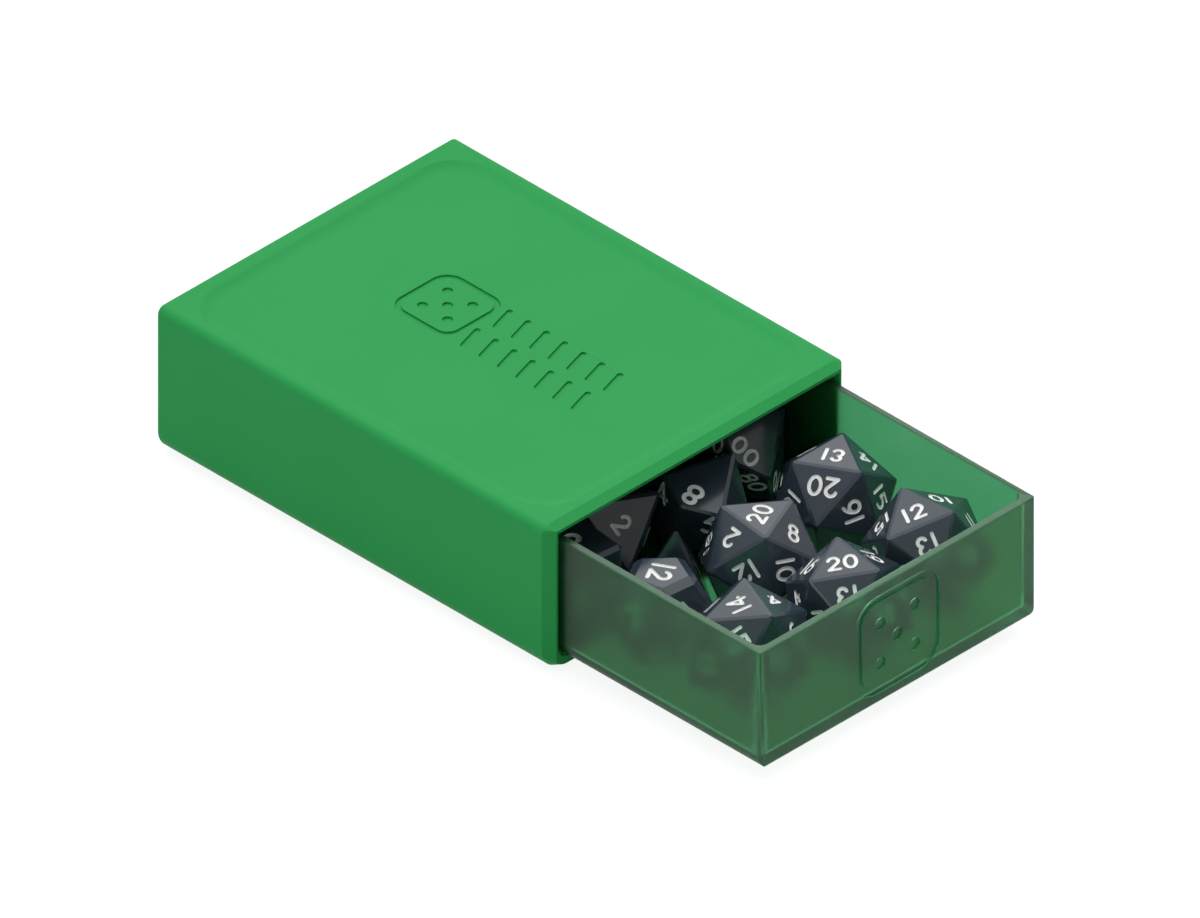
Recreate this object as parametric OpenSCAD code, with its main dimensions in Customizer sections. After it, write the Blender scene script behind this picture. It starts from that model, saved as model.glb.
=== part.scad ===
// Dice storage chest: a moulded sleeve, open at the front, with a clear drawer that slides out of it.
// Eleven gaming dice of six shapes lie in one layer on the drawer's floor.
// +Z is up, +Y points to the closed rear and +X to the right. The drawer pulls out toward -Y.
// The origin is the centre of the sleeve's underside, and the drawer is drawn a little over half open.

/* [Sleeve] */
// Outer width, across the way the drawer slides
sleeve_width = 81.4; // [60:0.2:120]
// Outer length, from the front rim to the rear face
sleeve_length = 106.5; // [80:0.5:160]
// Outer height
sleeve_height = 34; // [28:0.5:50]
// Thickness of the two side walls
side_wall = 2.5; // [2.2:0.1:3]
// Thickness of the roof under its raised border
roof_wall = 1.7; // [1.4:0.1:2]
// Thickness of the floor
floor_wall = 2.6; // [1.8:0.1:3]
// Thickness of the rear wall
rear_wall = 1.8; // [1.4:0.1:3]
// Radius of the two long top edges
top_round = 1.8; // [1.4:0.1:3]
// Radius of the two long bottom edges
bottom_round = 5; // [3:0.5:6]
// Radius of the edges round the rear face
rear_round = 0.6; // [0.4:0.1:1.2]
// Length of the front rim's chamfer, along the sleeve
rim_length = 2; // [1:0.1:4]
// Inset of the front rim's chamfer at the roof and the floor
rim_inset = 1; // [0.5:0.1:1.1]
// Inset of the front rim's chamfer at the two sides
rim_side_inset = 2; // [1.2:0.1:2]
// Radius of the two long bottom corners inside
cavity_round = 2.8; // [1:0.1:3]

/* [Recess in the roof] */
// Border left beside and behind the recess
recess_margin = 2.8; // [2.5:0.1:8]
// Border left in front of the recess
recess_front_margin = 4; // [3:0.1:12]
// Radius of the recess's corners, seen from above
recess_corner = 10; // [5:0.5:16]
// Width of the curved slope that leads down to the recess's flat bottom
recess_slope = 3.5; // [2:0.1:4.5]
// Depth of the recess
recess_depth = 0.7; // [0.4:0.05:0.8]

/* [Drawer] */
// How far the drawer stands out of the sleeve, from 0 when it is shut
drawer_out = 54; // [0:1:60]
// Gap between the drawer and each side wall
side_gap = 0.75; // [0.35:0.05:1]
// Gap between the drawer and the sleeve's floor
under_gap = 0.35; // [0.3:0.05:0.6]
// Gap between the drawer's rim and the roof
rim_gap = 1.85; // [0.5:0.05:3]
// Gap behind the drawer when it is shut
rear_gap = 0.7; // [0.4:0.1:2]
// Thickness of the drawer's walls
drawer_wall = 1.6; // [1.2:0.1:2]
// Thickness of the drawer's floor
drawer_floor = 2; // [1.4:0.1:2.6]
// Radius of the drawer's long bottom edges
drawer_bottom_round = 3; // [2:0.1:4]
// Radius of the drawer's bottom edge at the front and the rear
drawer_end_round = 1; // [0.4:0.1:1.5]
// Radius of the drawer's upright outer corners
drawer_corner = 0.9; // [0.5:0.1:2]
// Radius that softens the outer edge of the drawer's rim
drawer_rim_round = 0.4; // [0.2:0.1:0.6]
// Radius of the upright corners inside the drawer
inside_corner = 2; // [1:0.1:2]
// Radius between the walls and the floor inside the drawer
inside_bottom = 1.5; // [0.5:0.1:1.5]

/* [Hidden] */
$fn = 64;

// How far a cutting shape runs past what it cuts
overrun = 1;
// Slack in tests that compare places on a die
slack = 0.001;

// Inside of the sleeve
cavity_width = sleeve_width - 2 * side_wall;
cavity_height = sleeve_height - roof_wall - floor_wall;

// Outside of the drawer: shut, its front is flush with the sleeve's front rim
drawer_width = cavity_width - 2 * side_gap;
drawer_length = sleeve_length - rear_wall - rear_gap;
drawer_height = cavity_height - under_gap - rim_gap;
drawer_front_y = -sleeve_length / 2 - drawer_out;
drawer_bottom_z = floor_wall + under_gap;

// Inside of the drawer
inside_width = drawer_width - 2 * drawer_wall;
inside_length = drawer_length - 2 * drawer_wall;
inside_front_y = drawer_front_y + drawer_wall;
inside_height = drawer_height - drawer_floor;
inside_z = drawer_bottom_z + drawer_floor;

// The room that the dice take: across, along and up, in widths of a twenty-sided die
room_share = [3.414, 4.8, 1.214];
// The dice fill the drawer, so its inside gives the twenty-sided dice their width across opposite faces
d20_across = min(inside_width / room_share[0], inside_length / room_share[1], inside_height / room_share[2]);
// The rest of the set in widths of a twenty-sided die: across opposite faces, and the last along an edge
set_share = [0.867, 0.781, 0.676, 0.738, 0.881];
d12_across = set_share[0] * d20_across;
d10_across = set_share[1] * d20_across;
d8_across = set_share[2] * d20_across;
d6_across = set_share[3] * d20_across;
d4_edge = set_share[4] * d20_across;

sleeve_green = [0.16, 0.62, 0.33];
drawer_green = [0.20, 0.50, 0.30, 0.6];
dice_slate = [0.21, 0.24, 0.29];

// Each die's place: [across from the middle as a share of half the inside width, back from the inside
// of the front wall as a share of the inside length, then the turns in degrees: the direction it leans
// across, its lean, and its spin on the face it lies on before it leans]
d20_a_share = [0.675, 0.4, 0, 0, 180];
d20_b_share = [0.01, 0.36, 0, 0, 23];
d20_c_share = [0.03, 0.131, -90, 8, 52];
d20_d_share = [0.67, 0.145, -100, 17, 72];
d20_e_share = [-0.62, 0.165, -110, 12, 58];
d12_share = [-0.665, 0.385, 0, 0, 12];
d10_share = [0.18, 0.582, -10, 21, -158];
d10_tens_share = [0.665, 0.65, -52, -14, -160];
d8_share = [-0.25, 0.665, -35, -13, -52];
d6_share = [-0.745, 0.61, 0, 0, -6];
d4_share = [-0.235, 0.49, 15, -5, -20];

// Each shape's finish: [flat left off each face beside an edge, as a share of the die's inner radius,
// and the reach of its rounded tips, as a share of the reach of a sharp tip]
d20_finish_share = [0.035, 0.985];
d12_finish_share = [0.13, 0.925];
d10_finish_share = [0.06, 0.955];
d8_finish_share = [0.08, 0.945];
d6_finish_share = [0.1, 0.93];
d4_finish_share = [0.2, 0.88];

// Faces of each shape as directions from the middle of the die, with one face level on top and one
// below, apart from the four-sided die, which stands on a face with its tip on top
golden = (1 + sqrt(5)) / 2;
signs = [-1, 1];
corners_of_cube = [for (x = signs, y = signs, z = signs) [x, y, z]];
d20_faces = [for (v = concat(corners_of_cube, cycled([for (a = signs, b = signs) [0, a / golden, b * golden]])))
    turn_x(unit(v), atan(1 / golden ^ 2))];
d12_faces = [for (v = cycled([for (a = signs, b = signs) [a, 0, b * golden]])) turn_y(unit(v), -atan(1 / golden))];
// The ten-sided die's faces meet at a right angle all round its middle, and lean this far from its axis
d10_tilt = atan(1 / sqrt(cos(36)));
d10_faces = [for (k = [0:4], side = signs)
    turn_y(side * turn_z([sin(d10_tilt), 0, cos(d10_tilt)], 72 * k), -d10_tilt)];
d8_faces = [for (v = corners_of_cube) turn_x(turn_z(unit(v), 45), atan(sqrt(2)))];
d6_faces = cycled([[1, 0, 0], [-1, 0, 0]]);
d4_faces = concat([[0, 0, -1]], [for (k = [0:2]) unit([cos(90 + 120 * k), sin(90 + 120 * k), tan(asin(1 / 3))])]);

function unit(v) = v / norm(v);
function turn_x(v, angle) = [v.x, v.y * cos(angle) - v.z * sin(angle), v.y * sin(angle) + v.z * cos(angle)];
function turn_y(v, angle) = [v.x * cos(angle) + v.z * sin(angle), v.y, v.z * cos(angle) - v.x * sin(angle)];
function turn_z(v, angle) = [v.x * cos(angle) - v.y * sin(angle), v.x * sin(angle) + v.y * cos(angle), v.z];
// Each direction with its coordinates moved round once and twice
function cycled(list) = [for (v = list) each [v, [v.y, v.z, v.x], [v.z, v.x, v.y]]];

// A die's faces after its turns, which read from the last number of its place to the third
function placed(faces, place) = [for (v = faces) turn_z(turn_x(turn_z(v, place[4]), place[3]), place[2])];
// How far a point stands out along the face nearest it
function outermost(faces, point) = max([for (v = faces) v * point]);
// The middle of the line where two faces meet
function middle(a, b, radius) = unit(a + b) * 2 * radius / norm(a + b);
// Bevels along the die's real edges, as [direction, distance, one face, the other face]
function bevels(faces, radius, flat) = [
    for (i = [0:len(faces) - 2], j = [i + 1:len(faces) - 1])
        let (a = faces[i], b = faces[j])
            if (norm(a + b) > slack && outermost(faces, middle(a, b, radius)) < radius + slack)
                let (along = unit(a + b), lean = acos(along * a))
                    [along, radius / cos(lean) - flat * sin(lean), i, j]
];
// The point where a face meets two bevels
function meeting(face, radius, p, q) =
    (radius * cross(p[0], q[0]) + p[1] * cross(q[0], face) + q[1] * cross(face, p[0])) / (face * cross(p[0], q[0]));
// The corners that the bevels leave on the faces
function face_corners(faces, radius, flat) = let (all = bevels(faces, radius, flat)) [
    for (k = [0:len(faces) - 1])
        let (own = [for (b = all) if (b[2] == k || b[3] == k) b])
            for (i = [0:len(own) - 2], j = [i + 1:len(own) - 1])
                let (side = cross(own[i][0], own[j][0]) * faces[k])
                    if (abs(side) > slack)
                        let (point = meeting(faces[k], radius, own[i], own[j]))
                            if (max([for (b = own) b[0] * point - b[1]]) < slack) point
];
// How far the lowest corner of a placed die lies under its middle
function drop(faces, radius, flat) = max([for (p = face_corners(faces, radius, flat)) -p.z]);
// How far the sharp tips of the shape reach, where its bevels have no width
function tip_reach(faces, radius) = max([for (p = face_corners(faces, radius, 0)) norm(p)]);

// The sleeve's long profile from the middle of its thickness out to one outer face: the front rim's
// chamfer at the foot and the rear face's round edge at the head
module long_profile(reach) {
    polygon([
        [0, 0],
        [reach - rim_inset, 0],
        [reach, rim_length],
        [reach, sleeve_length - rear_round],
        [reach - rear_round, sleeve_length - rear_round],
        [reach - rear_round, sleeve_length],
        [0, sleeve_length],
    ]);
    translate([reach - rear_round, sleeve_length - rear_round]) circle(rear_round);
}

// One long edge of the sleeve, as the profile turned round the edge's own axis
module long_edge(radius) {
    rotate([-90, 0, 0]) rotate_extrude() long_profile(radius);
}

// One outer face of the sleeve with all that lies behind it, turned to face right (0), down (90),
// left (180) or up (-90)
module outer_face(turn, width, reach) {
    rotate([0, turn, 0]) linear_extrude(width, center = true) long_profile(reach);
}

module sleeve_block() {
    middle_z = sleeve_height / 2;
    side_width = sleeve_height - top_round - bottom_round;
    translate([0, -sleeve_length / 2, 0]) {
        translate([0, 0, middle_z]) outer_face(-90, sleeve_width - 2 * top_round, middle_z);
        translate([0, 0, middle_z]) outer_face(90, sleeve_width - 2 * bottom_round, middle_z);
        for (turn = [0, 180])
            translate([0, 0, bottom_round + side_width / 2]) outer_face(turn, side_width, sleeve_width / 2);
        for (side = signs) {
            translate([side * (sleeve_width / 2 - top_round), 0, sleeve_height - top_round]) long_edge(top_round);
            translate([side * (sleeve_width / 2 - bottom_round), 0, bottom_round]) long_edge(bottom_round);
        }
    }
}

// A trough's cross-section that stands on the line y = 0, with round bottom corners
module trough(width, height, radius) {
    translate([-width / 2, radius]) square([width, height - radius]);
    translate([radius - width / 2, 0]) square([width - 2 * radius, height]);
    for (side = signs) translate([side * (width / 2 - radius), radius]) circle(radius);
}

// A trough's cross-section whose top corners are softened as well
module rimmed_trough(width, height, radius, rim_radius) {
    intersection() {
        trough(width, height, radius);
        translate([0, height]) mirror([0, 1]) trough(width, height, rim_radius);
    }
}

// A section drawn across the chest, stretched along it from y = 0
module along_y(length) {
    translate([0, length, 0]) rotate([90, 0, 0]) linear_extrude(length) children();
}

// A section drawn along the chest about y = 0, stretched across it
module along_x(width) {
    rotate([90, 0, 90]) translate([0, 0, -width / 2]) linear_extrude(width) children();
}

// The recess's profile from the middle of the shape that cuts it out to its rim: flat, then a slope
// that curves up to the roof
module recess_profile(reach) {
    slope_radius = (recess_slope ^ 2 + recess_depth ^ 2) / (2 * recess_depth);
    translate([0, -recess_depth]) square([reach - recess_slope, recess_depth + overrun]);
    intersection() {
        translate([reach - recess_slope, slope_radius - recess_depth]) circle(slope_radius, $fn = 8 * $fn);
        translate([0, -recess_depth]) square([reach, recess_depth]);
    }
    square([reach, overrun]);
}

module recess_side(turn, width, reach) {
    rotate([90, 0, turn]) linear_extrude(width, center = true) recess_profile(reach);
}

module recess() {
    width = sleeve_width - 2 * recess_margin;
    length = sleeve_length - recess_margin - recess_front_margin;
    corner = recess_corner;
    translate([0, (recess_front_margin - recess_margin) / 2, sleeve_height]) {
        for (turn = [0, 180]) recess_side(turn, length - 2 * corner, width / 2);
        for (turn = [-90, 90]) recess_side(turn, width - 2 * corner, length / 2);
        for (side = signs, end = signs)
            translate([side * (width / 2 - corner), end * (length / 2 - corner), 0])
                rotate_extrude() recess_profile(corner);
    }
}

// What the front rim's deeper chamfer takes off one side of the sleeve, seen from above
module rim_side_cut() {
    reach = sleeve_width / 2;
    translate([0, -sleeve_length / 2, -overrun])
        linear_extrude(sleeve_height + 2 * overrun)
            polygon([
                [reach - rim_side_inset, -overrun],
                [reach - rim_side_inset, 0],
                [reach, rim_length],
                [reach + overrun, rim_length],
                [reach + overrun, -overrun],
            ]);
}

module sleeve_shell() {
    color(sleeve_green)
        difference() {
            sleeve_block();
            rim_side_cut();
            mirror([1, 0]) rim_side_cut();
            translate([0, -sleeve_length / 2 - overrun, floor_wall])
                along_y(sleeve_length - rear_wall + overrun) trough(cavity_width, cavity_height, cavity_round);
            recess();
        }
}

// An upright block with round corners, from y = 0 back
module rounded_plan(width, length, radius, height) {
    linear_extrude(height)
        for (side = signs) {
            translate([-width / 2, radius]) square([width, length - 2 * radius]);
            translate([radius - width / 2, 0]) square([width - 2 * radius, length]);
            translate([side * (width / 2 - radius), radius]) circle(radius);
            translate([side * (width / 2 - radius), length - radius]) circle(radius);
        }
}

// The drawer's outside: its cross-section, its long section and its plan, all three at once
module drawer_block() {
    intersection() {
        along_y(drawer_length) rimmed_trough(drawer_width, drawer_height, drawer_bottom_round, drawer_rim_round);
        translate([0, drawer_length / 2, 0])
            along_x(drawer_width) rimmed_trough(drawer_length, drawer_height, drawer_end_round, drawer_rim_round);
        rounded_plan(drawer_width, drawer_length, drawer_corner, drawer_height);
    }
}

// The space inside the drawer, open above its rim
module drawer_space() {
    height = inside_height + overrun;
    intersection() {
        along_y(inside_length) trough(inside_width, height, inside_bottom);
        translate([0, inside_length / 2, 0]) along_x(inside_width) trough(inside_length, height, inside_bottom);
        rounded_plan(inside_width, inside_length, inside_corner, height);
    }
}

module drawer_tray() {
    color(drawer_green)
        difference() {
            translate([0, drawer_front_y, drawer_bottom_z]) drawer_block();
            translate([0, inside_front_y, inside_z]) drawer_space();
        }
}

// Everything on the inner side of a plane that faces one way at some distance from the middle
module behind(way, distance, size) {
    rotate([0, acos(way.z), atan2(way.y, way.x)])
        translate([-size / 2, -size / 2, distance - size]) cube(size);
}

// A die with bevelled edges and rounded tips, laid on the drawer's floor at its place
module die(shape, radius, finish, place) {
    faces = placed(shape, place);
    flat = finish[0] * radius;
    reach = tip_reach(faces, radius);
    color(dice_slate)
        translate([place[0] * inside_width / 2, inside_front_y + place[1] * inside_length,
            inside_z + drop(faces, radius, flat)])
            intersection() {
                intersection_for (way = faces) behind(way, radius, 4 * reach);
                intersection_for (bevel = bevels(faces, radius, flat)) behind(bevel[0], bevel[1], 4 * reach);
                sphere(finish[1] * reach);
            }
}

module die_d20_a() die(d20_faces, d20_across / 2, d20_finish_share, d20_a_share);
module die_d20_b() die(d20_faces, d20_across / 2, d20_finish_share, d20_b_share);
module die_d20_c() die(d20_faces, d20_across / 2, d20_finish_share, d20_c_share);
module die_d20_d() die(d20_faces, d20_across / 2, d20_finish_share, d20_d_share);
module die_d20_e() die(d20_faces, d20_across / 2, d20_finish_share, d20_e_share);
module die_d12() die(d12_faces, d12_across / 2, d12_finish_share, d12_share);
module die_d10() die(d10_faces, d10_across / 2, d10_finish_share, d10_share);
module die_d10_tens() die(d10_faces, d10_across / 2, d10_finish_share, d10_tens_share);
module die_d8() die(d8_faces, d8_across / 2, d8_finish_share, d8_share);
module die_d6() die(d6_faces, d6_across / 2, d6_finish_share, d6_share);
module die_d4() die(d4_faces, d4_edge * sqrt(6) / 12, d4_finish_share, d4_share);

sleeve_shell();
drawer_tray();
die_d20_a();
die_d20_b();
die_d20_c();
die_d20_d();
die_d20_e();
die_d12();
die_d10();
die_d10_tens();
die_d8();
die_d6();
die_d4();
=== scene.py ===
# %% [markdown]
# # A dice storage chest
#
# The chest is two mouldings: a green sleeve with a shallow recess in its roof, and a clear drawer that
# slides out of it. Eleven dice lie in the drawer. Their exact solids come ready made as a frame. This
# lesson gives them what solids lack: engraving, painted numerals, and three kinds of plastic.

# %% Load the frame and the tools
import math

import bmesh
import bpy
from mathutils import Matrix, Vector


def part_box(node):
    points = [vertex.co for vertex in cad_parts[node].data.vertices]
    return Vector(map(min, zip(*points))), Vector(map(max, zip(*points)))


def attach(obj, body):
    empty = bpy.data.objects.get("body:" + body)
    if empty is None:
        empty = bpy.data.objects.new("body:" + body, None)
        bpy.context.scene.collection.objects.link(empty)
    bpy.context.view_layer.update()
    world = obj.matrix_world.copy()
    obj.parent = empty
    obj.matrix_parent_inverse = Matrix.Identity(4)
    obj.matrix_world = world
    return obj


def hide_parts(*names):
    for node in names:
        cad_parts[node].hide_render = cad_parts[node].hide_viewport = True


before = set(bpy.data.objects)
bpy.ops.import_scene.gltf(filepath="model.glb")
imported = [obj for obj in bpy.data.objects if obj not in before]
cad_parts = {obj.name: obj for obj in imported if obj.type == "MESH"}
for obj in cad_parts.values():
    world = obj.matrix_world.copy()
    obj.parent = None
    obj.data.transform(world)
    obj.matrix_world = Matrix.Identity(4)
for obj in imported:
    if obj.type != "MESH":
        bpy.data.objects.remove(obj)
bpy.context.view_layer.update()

MM = 0.001

# %% [markdown]
# ## The camera
#
# All the chest's long edges stay parallel in the picture, so the camera is orthographic. It stands to
# the left of the drawer and looks down at 35 degrees. A very long lens from far away would look much
# the same, but parallel rays need no distance to be guessed. The camera comes before the pieces because
# the numerals are placed on the dice by where this camera sees them.

# %% Set up the camera
PICTURE_WIDTH_MM = 230.3
CAMERA_AZIMUTH = math.radians(-45)
CAMERA_ELEVATION = math.radians(35)
CAMERA_DISTANCE_MM = 600
CAMERA_REACH_M = 10
LOOKED_AT_MM = (0.7, -25.7, 17.0)

tilt = math.radians(90) - CAMERA_ELEVATION
camera_turn = Matrix.Rotation(CAMERA_AZIMUTH, 3, "Z") @ Matrix.Rotation(tilt, 3, "X")
camera_right = camera_turn @ Vector((1, 0, 0))
camera_up = camera_turn @ Vector((0, 1, 0))
camera_back = camera_turn @ Vector((0, 0, 1))

camera = bpy.data.objects.new("camera", bpy.data.cameras.new("camera"))
bpy.context.scene.collection.objects.link(camera)
camera.data.type = "ORTHO"
camera.data.ortho_scale = PICTURE_WIDTH_MM * MM
camera.data.clip_end = CAMERA_REACH_M
camera.location = Vector(LOOKED_AT_MM) * MM + camera_back * CAMERA_DISTANCE_MM * MM
camera.rotation_euler = camera_turn.to_euler()
bpy.context.scene.camera = camera
print("camera looks along", [round(part, 3) for part in -camera_back])

# %% [markdown]
# ## Small helpers for meshes
#
# A CAD mesh is loose triangles, so a copy is merged before it is cut. A cut could be drawn in a bump
# map, but only a real one is in the mesh itself. It is made by a Boolean modifier that is applied at
# once, which leaves a closed mesh. Large flat faces then keep their own normals, and the small ones
# beside them blend, which is what a softened moulded edge looks like.

# %% Mesh helpers
MERGED_WITHIN_MM = 0.001
FLAT_WITHIN_DEGREES = 0.05


def new_piece(name, mesh):
    """Links a mesh to the scene as an object at the origin."""
    piece = bpy.data.objects.new(name, mesh)
    bpy.context.scene.collection.objects.link(piece)
    return piece


def from_bmesh(name, bm):
    """Turns a finished bmesh into an object."""
    mesh = bpy.data.meshes.new(name)
    bm.to_mesh(mesh)
    bm.free()
    return new_piece(name, mesh)


def apply_modifiers(piece):
    """Replaces the piece's mesh with what its modifiers make of it."""
    bpy.context.view_layer.update()
    graph = bpy.context.evaluated_depsgraph_get()
    mesh = bpy.data.meshes.new_from_object(piece.evaluated_get(graph))
    piece.modifiers.clear()
    piece.data = mesh
    return piece


def discard(*pieces):
    """Removes helper objects that have done their work."""
    for piece in pieces:
        bpy.data.objects.remove(piece)


def merged_copy(node, name):
    """A closed copy of a CAD node whose flat faces are whole again."""
    bm = bmesh.new()
    bm.from_mesh(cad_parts[node].data)
    bmesh.ops.remove_doubles(bm, verts=bm.verts[:], dist=MERGED_WITHIN_MM * MM)
    bmesh.ops.dissolve_limit(bm, angle_limit=math.radians(FLAT_WITHIN_DEGREES), verts=bm.verts[:],
                             edges=bm.edges[:])
    return from_bmesh(name, bm)


def cut(piece, cutter):
    """Takes the cutter's shape out of the piece. The new faces keep the cutter's material."""
    boolean = piece.modifiers.new("cut", "BOOLEAN")
    boolean.operation = "DIFFERENCE"
    boolean.solver = "MANIFOLD"
    boolean.object = cutter
    apply_modifiers(piece)
    discard(cutter)


def soften(piece, sharp_degrees):
    """Smooth shading that breaks at sharp edges and keeps flat faces flat."""
    piece.data.shade_smooth()
    piece.data.set_sharp_from_angle(angle=math.radians(sharp_degrees))
    weighted = piece.modifiers.new("flat faces stay flat", "WEIGHTED_NORMAL")
    weighted.keep_sharp = True
    weighted.weight = 100


# %% [markdown]
# ## Colours and nodes
#
# Colours are written as they look on a screen and turned to linear light by one function. One small
# function adds a node, sets it up and links it, so that each material reads as a list of its layers.

# %% Colour and node helpers
def linear(hex_colour):
    """An sRGB hex value as linear red, green, blue and an alpha of 1."""
    parts = [int(hex_colour[i:i + 2], 16) / 255 for i in (1, 3, 5)]
    return [p / 12.92 if p <= 0.04045 else ((p + 0.055) / 1.055) ** 2.4 for p in parts] + [1.0]


def add(tree, kind, inputs=(), **settings):
    """Adds a node. Each input is a value, or another node's output, which is linked."""
    made = tree.nodes.new(kind)
    for name, value in settings.items():
        setattr(made, name, value)
    for name, value in dict(inputs).items():
        if isinstance(value, bpy.types.NodeSocket):
            tree.links.new(value, made.inputs[name])
        else:
            made.inputs[name].default_value = value
    return made


def new_material(name):
    """An empty node material and its tree."""
    material = bpy.data.materials.new(name)
    material.use_nodes = True
    material.node_tree.nodes.clear()
    return material, material.node_tree


def per_mm(size_mm):
    """The scale that a noise or wave needs on Object coordinates for features of this size."""
    return 1 / (size_mm * MM)


# %% [markdown]
# ## Satin green ABS
#
# The sleeve is injection moulded in a green plastic such as ABS, in a mould with a fine spark-eroded
# texture. The eye sees an even satin green, a faint grain, and a soft sheen on the rounded edges. The
# grain could be an image, but a noise on Object coordinates keeps its size in millimetres and has no
# seams. It drives both the roughness and a weak bump, as the real grain does.

# %% Sleeve material
def satin_green_abs():
    material, tree = new_material("satin_green_abs")
    place = add(tree, "ShaderNodeTexCoord").outputs["Object"]
    # Spark-eroded grain is about 0.05 mm, drawn at 0.35 mm so that it shows at all.
    grain = add(tree, "ShaderNodeTexNoise", {"Vector": place, "Scale": per_mm(0.35), "Detail": 3.0})
    # Plastic that flowed unevenly varies in tone over about 25 mm.
    flow = add(tree, "ShaderNodeTexNoise", {"Vector": place, "Scale": per_mm(25), "Detail": 2.0})
    tone = add(tree, "ShaderNodeMix", {"Factor": flow.outputs["Fac"], "A": linear("#2fa053"),
               "B": linear("#35a559")}, data_type="RGBA")
    sheen = add(tree, "ShaderNodeMapRange", {"Value": grain.outputs["Fac"], "To Min": 0.36, "To Max": 0.46})
    bump = add(tree, "ShaderNodeBump", {"Height": grain.outputs["Fac"], "Strength": 0.12,
               "Distance": 0.02 * MM})
    shader = add(tree, "ShaderNodeBsdfPrincipled", {"Base Color": tone.outputs["Result"],
                 "Roughness": sheen.outputs["Result"], "Normal": bump.outputs["Normal"], "IOR": 1.5,
                 "Specular IOR Level": 0.05})
    add(tree, "ShaderNodeOutputMaterial", {"Surface": shader.outputs["BSDF"]})
    return material


# %% [markdown]
# ## Frosted clear green polystyrene
#
# The drawer is clear plastic with green dye and a fine frost. Light passes through and is scattered,
# so what lies against a wall shows as a soft shape and what lies further back fades into the green. A
# dyed volume inside clear walls would be nearer to the real thing but slow and grainy. A coloured
# transmission with a rough surface looks the same in walls this thin.

# %% Drawer material
def frosted_green_polystyrene():
    material, tree = new_material("frosted_green_polystyrene")
    place = add(tree, "ShaderNodeTexCoord").outputs["Object"]
    # The frost's own grain is far under 0.1 mm, drawn at 0.5 mm so that it shows at all.
    frost = add(tree, "ShaderNodeTexNoise", {"Vector": place, "Scale": per_mm(0.5), "Detail": 2.0})
    haze = add(tree, "ShaderNodeMapRange", {"Value": frost.outputs["Fac"], "To Min": 0.29, "To Max": 0.33})
    shader = add(tree, "ShaderNodeBsdfPrincipled", {"Base Color": linear("#54b078"),
                 "Roughness": haze.outputs["Result"], "IOR": 1.42, "Transmission Weight": 0.95})
    add(tree, "ShaderNodeOutputMaterial", {"Surface": shader.outputs["BSDF"]})
    return material


# %% [markdown]
# ## Slate resin and white paint
#
# The dice are tumbled and polished resin in a dark slate grey. The numerals are engraved and filled
# with white paint, then wiped flat, which leaves the paint matt beside the glossy resin. The two are
# separate materials, so that the edge between them is as sharp as the engraving.

# %% Dice materials
def polished_slate_resin():
    material, tree = new_material("polished_slate_resin")
    place = add(tree, "ShaderNodeTexCoord").outputs["Object"]
    # Pigment clouds of a few millimetres, as stirred resin has.
    cloud = add(tree, "ShaderNodeTexNoise", {"Vector": place, "Scale": per_mm(4), "Detail": 4.0})
    tone = add(tree, "ShaderNodeMix", {"Factor": cloud.outputs["Fac"], "A": linear("#313c46"),
               "B": linear("#38434f")}, data_type="RGBA")
    # Tumbling leaves faint polishing marks, drawn at 1.5 mm.
    marks = add(tree, "ShaderNodeTexNoise", {"Vector": place, "Scale": per_mm(1.5), "Detail": 2.0})
    polish = add(tree, "ShaderNodeMapRange", {"Value": marks.outputs["Fac"], "To Min": 0.12, "To Max": 0.18})
    shader = add(tree, "ShaderNodeBsdfPrincipled", {"Base Color": tone.outputs["Result"],
                 "Roughness": polish.outputs["Result"], "IOR": 1.5, "Specular IOR Level": 0.32})
    add(tree, "ShaderNodeOutputMaterial", {"Surface": shader.outputs["BSDF"]})
    return material


def white_numeral_paint():
    material, tree = new_material("white_numeral_paint")
    place = add(tree, "ShaderNodeTexCoord").outputs["Object"]
    # Brushed-in paint is a little uneven over half a millimetre.
    wipe = add(tree, "ShaderNodeTexNoise", {"Vector": place, "Scale": per_mm(0.5), "Detail": 2.0})
    tone = add(tree, "ShaderNodeMix", {"Factor": wipe.outputs["Fac"], "A": linear("#f4f4f2"),
               "B": linear("#ffffff")}, data_type="RGBA")
    shader = add(tree, "ShaderNodeBsdfPrincipled", {"Base Color": tone.outputs["Result"], "Roughness": 0.55,
                 "IOR": 1.45})
    add(tree, "ShaderNodeOutputMaterial", {"Surface": shader.outputs["BSDF"]})
    return material


sleeve_plastic = satin_green_abs()
drawer_plastic = frosted_green_polystyrene()
dice_resin = polished_slate_resin()
numeral_paint = white_numeral_paint()
print("materials:", [m.name for m in (sleeve_plastic, drawer_plastic, dice_resin, numeral_paint)])

# %% [markdown]
# ## Strokes for engraving
#
# Numerals and signs are all cut as a round-ended tool cuts them. Text objects would bring a typeface
# along, and a tool has only its width and its path. The path is drawn by a pen that extrudes a vertex
# along lines and spins it round arcs. Each move is raised to a thin wall and thickened, and a round
# solid fills the place where two moves meet, so that no corner runs to a spike.

# %% A pen that draws tool paths
ARC_STEP_DEGREES = 15
ROUND_CUT_SIDES = 12


def pen_line(bm, tip, x, y):
    """Draws a straight line from the pen's tip to x, y."""
    made = bmesh.ops.extrude_vert_indiv(bm, verts=[tip])["verts"][0]
    made.co = (x, y, 0)
    return made


def pen_arc(bm, tip, x, y, degrees):
    """Draws an arc from the pen's tip round the centre x, y."""
    steps = max(2, round(abs(degrees) / ARC_STEP_DEGREES))
    made = bmesh.ops.spin(bm, geom=[tip], cent=(x, y, 0), axis=(0, 0, 1), angle=math.radians(degrees),
                          steps=steps, use_duplicate=False)
    return next(part for part in made["geom_last"] if isinstance(part, bmesh.types.BMVert))


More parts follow.
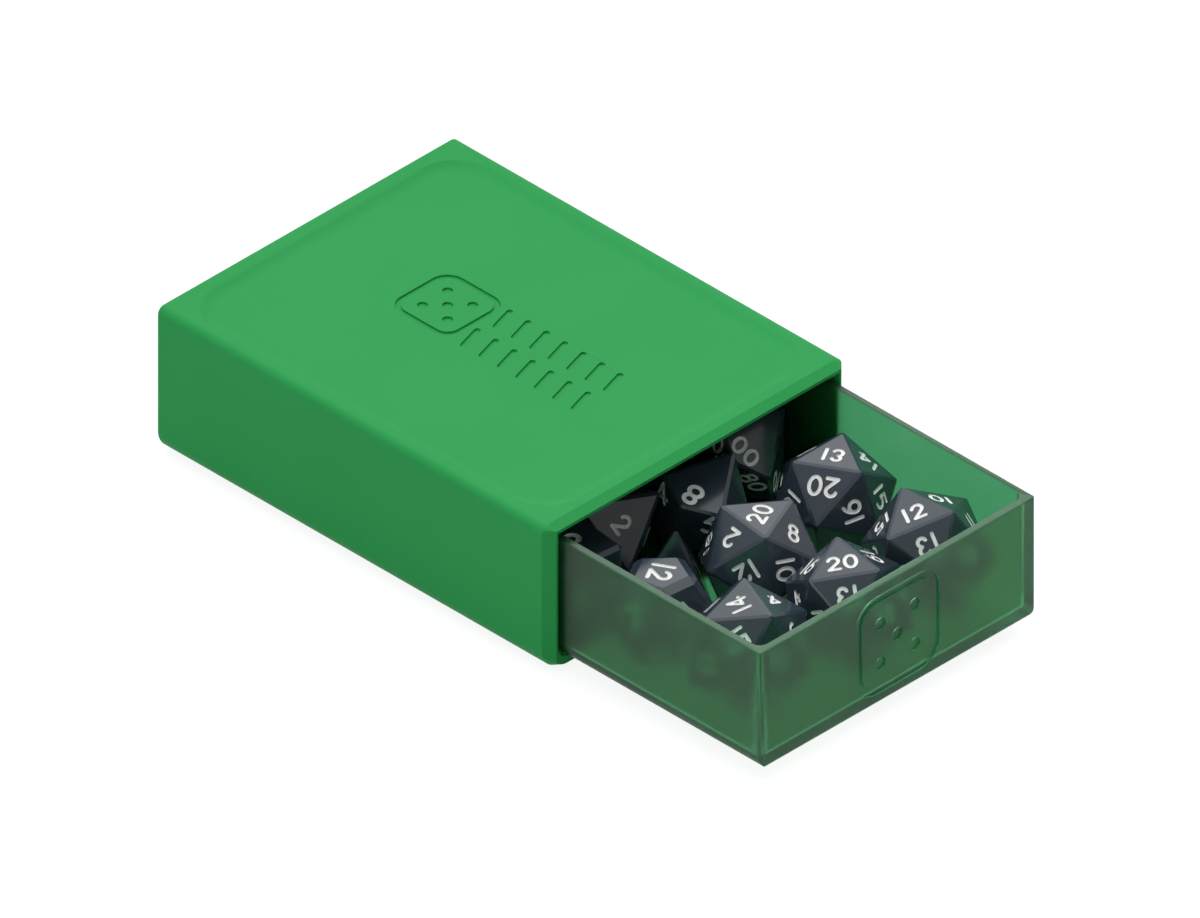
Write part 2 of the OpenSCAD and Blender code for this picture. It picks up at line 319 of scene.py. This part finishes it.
def round_cut(x, y, radius, depth, above):
    """The solid that a tool cuts when it only plunges."""
    bm = bmesh.new()
    bmesh.ops.create_cone(bm, cap_ends=True, segments=ROUND_CUT_SIDES, radius1=radius,
                          radius2=radius, depth=depth + above,
                          matrix=Matrix.Translation((x, y, (above - depth) / 2)))
    return from_bmesh("plunge", bm)


# %% Turn a tool path into solids
def tool_cut(start, moves, width, depth, above, squeeze=1.0):
    """The solids that a tool cuts along a path: one a move, and a round one where moves meet."""
    solids = [round_cut(start[0] * squeeze, start[1], width / 2, depth, above)]
    for move in moves:
        bm = bmesh.new()
        tip = bm.verts.new((start[0], start[1], 0))
        tip = pen_line(bm, tip, *move) if len(move) == 2 else pen_arc(bm, tip, *move)
        start = (tip.co.x, tip.co.y)
        # A full turn ends where it began, so its two ends are merged.
        bmesh.ops.remove_doubles(bm, verts=bm.verts[:], dist=width / 50)
        bmesh.ops.scale(bm, vec=(squeeze, 1, 1), verts=bm.verts[:])
        raised = bmesh.ops.extrude_edge_only(bm, edges=bm.edges[:])
        top = [part for part in raised["geom"] if isinstance(part, bmesh.types.BMVert)]
        bmesh.ops.translate(bm, vec=(0, 0, depth + above), verts=top)
        bmesh.ops.translate(bm, vec=(0, 0, -depth), verts=bm.verts[:])
        wall = from_bmesh("tool_path", bm)
        thick = wall.modifiers.new("tool width", "SOLIDIFY")
        thick.thickness = width
        thick.offset = 0
        thick.use_even_offset = True
        solids.append(apply_modifiers(wall))
        solids.append(round_cut(start[0] * squeeze, start[1], width / 2, depth, above))
    return solids


def fused(name, solids):
    """One closed mesh from solids that overlap."""
    first, rest = solids[0], solids[1:]
    first.name = name
    for solid in rest:
        boolean = first.modifiers.new("fuse", "BOOLEAN")
        boolean.operation = "UNION"
        boolean.solver = "MANIFOLD"
        boolean.object = solid
    apply_modifiers(first)
    discard(*rest)
    return first


# %% [markdown]
# ## The numerals
#
# Each digit is drawn with its height as 1, standing on zero and centred on x. A path is a start, its
# moves and how far it is squeezed sideways. In a move, two numbers are a line to a point, and three are
# an arc's centre and its angle. The shapes are plain geometric ones, as a pantograph engraver would cut
# them, and every width and depth is a share of the height.

# %% Digit paths
DIGIT_PATHS = {
    "0": [((0.5, 0.5), [(0, 0.5, 360)], 0.64)],
    "1": [((0, 1.0), [(0, 0.0)], 1.0)],
    "2": [((-0.28, 0.76), [(0, 0.70, -200), (-0.30, 0.0), (0.32, 0.0)], 1.0)],
    "3": [((-0.25, 0.86), [(0, 0.755, -230), (0, 0.27, -230)], 1.0)],
    "4": [((0.13, 0.0), [(0.13, 1.0), (-0.33, 0.28), (0.34, 0.28)], 1.0)],
    "5": [((0.26, 1.0), [(-0.20, 1.0), (-0.24, 0.52), (0.0, 0.31, -230)], 1.0)],
    "6": [((0, 0.62), [(0, 0.31, 360)], 1.0), ((-0.30, 0.31), [(0.40, 0.31, -68)], 1.0)],
    "7": [((-0.30, 1.0), [(0.30, 1.0), (-0.08, 0.0)], 1.0)],
    "8": [((0, 0.54), [(0, 0.27, 360)], 1.1), ((0, 1.0), [(0, 0.77, 360)], 1.1)],
}
DIGIT_WIDTHS = {"0": 0.64, "1": 0.21, "2": 0.64, "3": 0.56, "4": 0.68, "5": 0.58, "6": 0.62, "7": 0.62,
                "8": 0.60, "9": 0.62}
STROKE_WIDTH = 0.21
DIGIT_GAP = 0.30
DIGIT_DEPTH = 0.055
DIGIT_ABOVE = 0.05


def digit_cutter(digit):
    """The cutter of one digit, one unit tall. A nine is a six turned round."""
    solids = []
    for start, moves, squeeze in DIGIT_PATHS["6" if digit == "9" else digit]:
        solids += tool_cut(start, moves, STROKE_WIDTH, DIGIT_DEPTH, DIGIT_ABOVE, squeeze)
    cutter = fused("digit_" + digit, solids)
    if digit == "9":
        cutter.data.transform(Matrix.Translation((0, 1, 0)) @ Matrix.Rotation(math.pi, 4, "Z"))
    return cutter


digits = {digit: digit_cutter(digit) for digit in "0123456789"}
print("digits:", {digit: len(piece.data.polygons) for digit, piece in digits.items()})

# %% [markdown]
# ## Finding the faces of a die
#
# A numeral needs a face's centre, its normal and the way to its corners. They could be worked out from
# each shape's geometry and its turns, but the solid already holds them: after merging, the large flat
# faces are simply its largest polygons.

# %% Read the faces
FACE_COUNTS = {"d20": 20, "d12": 12, "d10": 10, "d8": 8, "d6": 6, "d4": 4}
# A face's real corners lie at least this share of its reach from its centre.
CORNER_SHARE = 0.85
# Of a ten-sided die's kites, only the long corner lies this far out.
LONG_CORNER_SHARE = 0.999
# A cube's real edges are longer than this, and those that its bevels leave are shorter.
REAL_EDGE_MM = 5


def flat_faces(die, count):
    """The centre, normal and corners of the die's largest faces."""
    largest = sorted(die.data.polygons, key=lambda face: -face.area)[:count]
    return [(face.center.copy(), face.normal.copy(), [die.data.vertices[i].co.copy() for i in face.vertices])
            for face in largest]


def seen_at(point, centre):
    """Where the camera sees a point, in millimetres right of and above the die's centre."""
    offset = (point - centre) / MM
    return Vector((offset.dot(camera_right), offset.dot(camera_up)))


def top_direction(face, kind, degrees):
    """The direction across a face, to a corner or an edge, that the camera sees nearest to an angle."""
    centre, _, corners = face
    reach = max((corner - centre).length for corner in corners)
    if kind == "d10":
        # On a kite the numeral stands with its foot at the long corner.
        return next(centre - corner for corner in corners
                    if (corner - centre).length > LONG_CORNER_SHARE * reach)
    if kind == "d6":
        spots = [(a + b) / 2 for a, b in zip(corners, corners[1:] + corners[:1])
                 if (a - b).length > REAL_EDGE_MM * MM]
    else:
        spots = [corner for corner in corners if (corner - centre).length > CORNER_SHARE * reach]
    wanted = Vector((math.cos(math.radians(degrees)), math.sin(math.radians(degrees))))
    return max((spot - centre for spot in spots),
               key=lambda way: seen_at(way, Vector()).normalized().dot(wanted))


# %% [markdown]
# ## Which number goes where
#
# Numbers that the camera can see are listed with the place of their face, in millimetres right of and
# above the die's centre, and the angle that their top points to. That is how one reads them off a
# picture, and it needs no list of face numbers. The rest of each set goes on the faces that are left,
# so every die is complete from all sides.

# %% Numbers on each die
NUMBERS = {
    "die_d20_a": [(13, 0.8, 9.9, 58), (20, -1.7, 2.8, 260), (14, 8.5, 7.8, 233), (15, 10.0, 1.5, 35),
                  (16, 5.0, -2.9, 200), (18, -8.7, 0.5, 315)],
    "die_d20_b": [(20, -0.2, 8.6, 160), (2, -4.8, 3.5, 250), (8, 6.5, 4.2, 130), (12, -1.9, -2.5, 300),
                  (18, -9.8, 2.5, 165), (10, 4.0, -1.5, 60)],
    "die_d20_c": [(20, -2.3, 8.6, 103), (19, 4.0, 10.0, 60), (13, -0.6, 0.8, 270), (16, -9.4, 7.7, 60)],
    "die_d20_d": [(12, -2.8, 6.7, 112), (10, 3.5, 9.7, 303), (11, 8.9, 6.7, 285), (15, -8.8, 6.1, 285),
                  (13, -0.9, 0.1, 270)],
    "die_d20_e": [(14, -1.2, 7.7, 198), (15, -1.0, 2.5, 37), (4, 4.6, 9.2, 300), (5, 9.4, 4.4, 270),
                  (11, -7.3, 7.9, 60)],
    "die_d12": [(12, -0.2, 8.0, -30), (11, 4.9, 2.8, 113)],
    "die_d10": [(8, 2.8, 3.6, 233), (0, -0.9, 8.3, 190), (9, 8.5, 1.7, 280), (5, -2.2, -3.8, 90)],
    "die_d10_tens": [(0, 2.1, 1.9, 220), (70, 10.0, 0.2, 260)],
    "die_d8": [(2, 4.8, 2.8, 34), (8, 10.7, -0.4, 90)],
    "die_d6": [(3, 1.0, 7.9, 210)],
    "die_d4": [],
}
NUMERAL_HEIGHTS_MM = {"d20": 3.5, "d12": 4.2, "d10": 4.4, "tens": 3.5, "d8": 3.5, "d6": 5.5, "d4": 3.0}
print("numbers placed by hand:", sum(len(numbers) for numbers in NUMBERS.values()))


# %% Place a numeral on a face
def numbers_of(kind, tens):
    """All the numbers of a set, in order."""
    first = 0 if kind == "d10" else 1
    return [number * (10 if tens else 1) for number in range(first, first + FACE_COUNTS[kind])]


def numeral(number, tens):
    """The text of a number, which has two digits on the die with tens."""
    return f"{number:02d}" if tens else str(number)


def place_numeral(text, height, centre, normal, top, cutters):
    """Adds the cutters of a numeral, centred on a face."""
    side = top.cross(normal)
    frame_of_face = Matrix((side, top, normal)).transposed().to_4x4()
    widths = [DIGIT_WIDTHS[digit] for digit in text]
    x = -(sum(widths) + DIGIT_GAP * (len(text) - 1)) / 2
    for digit, width in zip(text, widths):
        local = Matrix.Translation((x + width / 2, -0.5, 0))
        cutter = new_piece("cutter", digits[digit].data.copy())
        cutter.data.transform(Matrix.Translation(centre) @ frame_of_face @ Matrix.Scale(height, 4) @ local)
        cutters.append(cutter)
        x += width + DIGIT_GAP


def joined(name, pieces):
    """One object from many that don't touch."""
    bm = bmesh.new()
    for piece in pieces:
        bm.from_mesh(piece.data)
    discard(*pieces)
    return from_bmesh(name, bm)


# %% [markdown]
# ## Engraving the dice
#
# Each die is a merged copy of its solid with all its numerals cut out at once. The cut faces take the
# paint, so the white lies in a real groove, and the bevels along the edges keep a soft highlight.

# %% Make the dice
DIE_SHARP_DEGREES = 12
# Where the tops of the numerals point that aren't listed.
OTHER_TOP_DEGREES = 90


def engraved_die(node):
    kind = node.split("_")[1]
    tens = node.endswith("tens")
    die = merged_copy(node, node + "_engraved")
    centre = sum((v.co for v in die.data.vertices), Vector()) / len(die.data.vertices)
    faces = flat_faces(die, FACE_COUNTS[kind])
    left = numbers_of(kind, tens)
    height = NUMERAL_HEIGHTS_MM["tens" if tens else kind] * MM
    cutters = []
    placed = []
    for number, right, up, degrees in NUMBERS[node]:
        facing = [face for face in faces if face[1].dot(camera_back) > 0 and face not in placed]
        face = min(facing, key=lambda f: (seen_at(f[0], centre) - Vector((right, up))).length)
        placed.append(face)
        left.remove(number)
        top = top_direction(face, kind, degrees).normalized()
        place_numeral(numeral(number, tens), height, face[0], face[1], top, cutters)
    for face in faces:
        if face not in placed:
            top = top_direction(face, kind, OTHER_TOP_DEGREES).normalized()
            place_numeral(numeral(left.pop(0), tens), height, face[0], face[1], top, cutters)
    cutter = joined("numerals", cutters)
    cutter.data.materials.append(dice_resin)
    cutter.data.materials.append(numeral_paint)
    for face in cutter.data.polygons:
        face.material_index = 1
    die.data.materials.append(dice_resin)
    die.data.materials.append(numeral_paint)
    cut(die, cutter)
    soften(die, DIE_SHARP_DEGREES)
    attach(die, "drawer")
    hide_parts(node)
    return die


for node in NUMBERS:
    die = engraved_die(node)
    print(die.name, len(die.data.polygons), "faces")
discard(*digits.values())

# %% [markdown]
# ## A sign for the roof and the drawer's front
#
# Both mouldings carry a shallow sign, a plain die face: a square with round corners and five pips. It is
# cut by the same round-ended tool, drawn along a square path with an arc at each corner.

# %% Cutters of the sign
SIGN_DEPTH_MM = 0.4
SIGN_ABOVE_MM = 0.3
SIGN_CORNER_SHARE = 0.22
PIP_PLACE_SHARE = 0.22


def sign_cutters(size, ring, pip):
    """The ring and the pips of the sign, drawn flat about the origin, in metres."""
    half, corner = size / 2, size * SIGN_CORNER_SHARE
    depth, above = SIGN_DEPTH_MM * MM, SIGN_ABOVE_MM * MM
    inner = half - corner
    moves = [(inner, -half), (inner, -inner, 90), (half, inner), (inner, inner, 90), (-inner, half),
             (-inner, inner, 90), (-half, -inner), (-inner, -inner, 90)]
    solids = tool_cut((-inner, -half), moves, ring, depth, above)
    spread = size * PIP_PLACE_SHARE
    for x, y in [(0, 0), (spread, spread), (-spread, spread), (-spread, -spread), (spread, -spread)]:
        solids.append(round_cut(x, y, pip / 2, depth, above))
    return [fused("sign", solids)]


def placed_cutter(name, solids, place):
    """One cutter from several solids, moved to where it cuts."""
    cutter = joined(name, solids)
    cutter.data.transform(place)
    return cutter


# %% [markdown]
# ## Engraving the sleeve
#
# The roof's sign lies in the recess, a little to the rear. In front of it two rows of slanted grooves
# give the thumb a grip. They are real cuts in a copy of the moulding, not a bump in its material, so
# that their edges catch the light as moulded ones do.

# %% Engrave the sleeve
RECESS_DEPTH_MM = 0.7
ROOF_SIGN_Y_MM = 14.95
ROOF_SIGN_MM = 15.5
ROOF_RING_MM = 1.3
ROOF_PIP_MM = 2.2
GRIP_Y_MM = -10.8
GRIP_ROWS_MM = (4.2, -4.6)
GRIP_COUNT = 7
GRIP_PITCH_MM = 5.0
GROOVE_WIDTH_MM = 1.3
GROOVE_HALF_MM = (2.7, 0.8)
SLEEVE_SHARP_DEGREES = 18

recess_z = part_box("sleeve_shell")[1].z - RECESS_DEPTH_MM * MM
sleeve = merged_copy("sleeve_shell", "sleeve_engraved")
sign = sign_cutters(ROOF_SIGN_MM * MM, ROOF_RING_MM * MM, ROOF_PIP_MM * MM)
cut(sleeve, placed_cutter("roof_sign", sign, Matrix.Translation((0, ROOF_SIGN_Y_MM * MM, recess_z))))
grooves = []
for row in GRIP_ROWS_MM:
    for i in range(GRIP_COUNT):
        y = GRIP_Y_MM + (i - (GRIP_COUNT - 1) / 2) * GRIP_PITCH_MM
        start = ((row - GROOVE_HALF_MM[0]) * MM, (y - GROOVE_HALF_MM[1]) * MM)
        end = ((row + GROOVE_HALF_MM[0]) * MM, (y + GROOVE_HALF_MM[1]) * MM)
        solids = tool_cut(start, [end], GROOVE_WIDTH_MM * MM, SIGN_DEPTH_MM * MM, SIGN_ABOVE_MM * MM)
        grooves.append(fused("groove", solids))
print("grooves", len(grooves))
cut(sleeve, placed_cutter("grip", grooves, Matrix.Translation((0, 0, recess_z))))
sleeve.data.materials.clear()
sleeve.data.materials.append(sleeve_plastic)
soften(sleeve, SLEEVE_SHARP_DEGREES)
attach(sleeve, "sleeve")
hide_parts("sleeve_shell")
print("sleeve", len(sleeve.data.polygons), "faces")

# %% [markdown]
# ## Engraving the drawer
#
# The drawer's front carries the same sign, larger. The cutter is drawn flat, then turned upright and
# moved to the middle of the front. In clear plastic the groove shows mainly by how its sides bend the
# light, which only a real cut does.

# %% Engrave the drawer
FRONT_SIGN_MM = 21
FRONT_RING_MM = 1.7
FRONT_PIP_MM = 2.9
DRAWER_SHARP_DEGREES = 30

drawer = merged_copy("drawer_tray", "drawer_engraved")
low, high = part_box("drawer_tray")
upright = Matrix.Rotation(math.radians(90), 4, "X")
front = Matrix.Translation((0, low.y, (low.z + high.z) / 2)) @ upright
sign = sign_cutters(FRONT_SIGN_MM * MM, FRONT_RING_MM * MM, FRONT_PIP_MM * MM)
cut(drawer, placed_cutter("front_sign", sign, front))
drawer.data.materials.clear()
drawer.data.materials.append(drawer_plastic)
soften(drawer, DRAWER_SHARP_DEGREES)
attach(drawer, "drawer")
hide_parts("drawer_tray")
print("drawer", len(drawer.data.polygons), "faces")

# %% [markdown]
# ## The studio
#
# A pale floor and a white world surround the chest. More light would turn them white and wash out the
# plastic. So the world lights the object softly, and looks plain white only to the camera and in what
# the clear plastic and the gloss show. A wide panel above, a little behind and to the right, lights the
# roof and brings out the recess's slopes, and a weak low one lights the left side.

# %% The rays that see a white background
def background_rays(tree):
    """The camera's own rays, and all that must see white: those of gloss and clear plastic too."""
    ray = add(tree, "ShaderNodeLightPath")
    seen = add(tree, "ShaderNodeMath", {0: ray.outputs["Is Camera Ray"], 1: ray.outputs["Is Glossy Ray"]},
               operation="MAXIMUM")
    seen_or_through = add(tree, "ShaderNodeMath", {0: seen.outputs["Value"],
                          1: ray.outputs["Is Transmission Ray"]}, operation="MAXIMUM")
    return ray.outputs["Is Camera Ray"], seen_or_through.outputs["Value"]


# %% Floor
FLOOR_HALF_WIDTH_M = 3.0


def studio_floor():
    """Pale paper that keeps the chest's shadow and looks white."""
    material, tree = new_material("white_studio_floor")
    camera_ray, seen = background_rays(tree)
    # The paper that lights the chest, and the one that is seen, which a glow brings up to white.
    paper = add(tree, "ShaderNodeBsdfDiffuse", {"Color": linear("#c2c2c2")})
    seen_paper = add(tree, "ShaderNodeBsdfDiffuse", {"Color": linear("#8c8c8c")})
    strength = add(tree, "ShaderNodeMapRange", {"Value": camera_ray, "To Min": 0.6, "To Max": 0.88})
    lift = add(tree, "ShaderNodeEmission", {"Color": linear("#ffffff"),
               "Strength": strength.outputs["Result"]})
    lit = add(tree, "ShaderNodeAddShader")
    tree.links.new(seen_paper.outputs["BSDF"], lit.inputs[0])
    tree.links.new(lift.outputs["Emission"], lit.inputs[1])
    surface = add(tree, "ShaderNodeMixShader", {"Fac": seen})
    tree.links.new(paper.outputs["BSDF"], surface.inputs[1])
    tree.links.new(lit.outputs["Shader"], surface.inputs[2])
    add(tree, "ShaderNodeOutputMaterial", {"Surface": surface.outputs["Shader"]})
    return material


bm = bmesh.new()
bmesh.ops.create_grid(bm, x_segments=1, y_segments=1, size=FLOOR_HALF_WIDTH_M)
floor = from_bmesh("studio_floor", bm)
floor.data.materials.append(studio_floor())
print("floor width in m:", 2 * FLOOR_HALF_WIDTH_M)

# %% World
world = bpy.data.worlds.new("white_world")
bpy.context.scene.world = world
world.use_nodes = True
world.node_tree.nodes.clear()
_, seen = background_rays(world.node_tree)
strength = add(world.node_tree, "ShaderNodeMapRange", {"Value": seen, "To Min": 0.3, "To Max": 1.0})
background = add(world.node_tree, "ShaderNodeBackground", {"Color": linear("#ffffff"),
                 "Strength": strength.outputs["Result"]})
add(world.node_tree, "ShaderNodeOutputWorld", {"Surface": background.outputs["Background"]})
print("world nodes:", len(world.node_tree.nodes))


# %% Lamps and view
def sun(name, toward, strength, spread_degrees):
    """A lamp that shines from a direction, with the softness of a wide panel."""
    lamp = bpy.data.objects.new(name, bpy.data.lights.new(name, "SUN"))
    lamp.data.energy = strength
    lamp.data.angle = math.radians(spread_degrees)
    lamp.rotation_euler = Vector(toward).to_track_quat("Z", "Y").to_euler()
    bpy.context.scene.collection.objects.link(lamp)


sun("overhead_panel", (0.3, 0.33, 1.0), 2.2, 80)
sun("left_panel", (-1.0, 0.0, 0.08), 0.95, 40)

bpy.context.scene.view_settings.view_transform = "Standard"
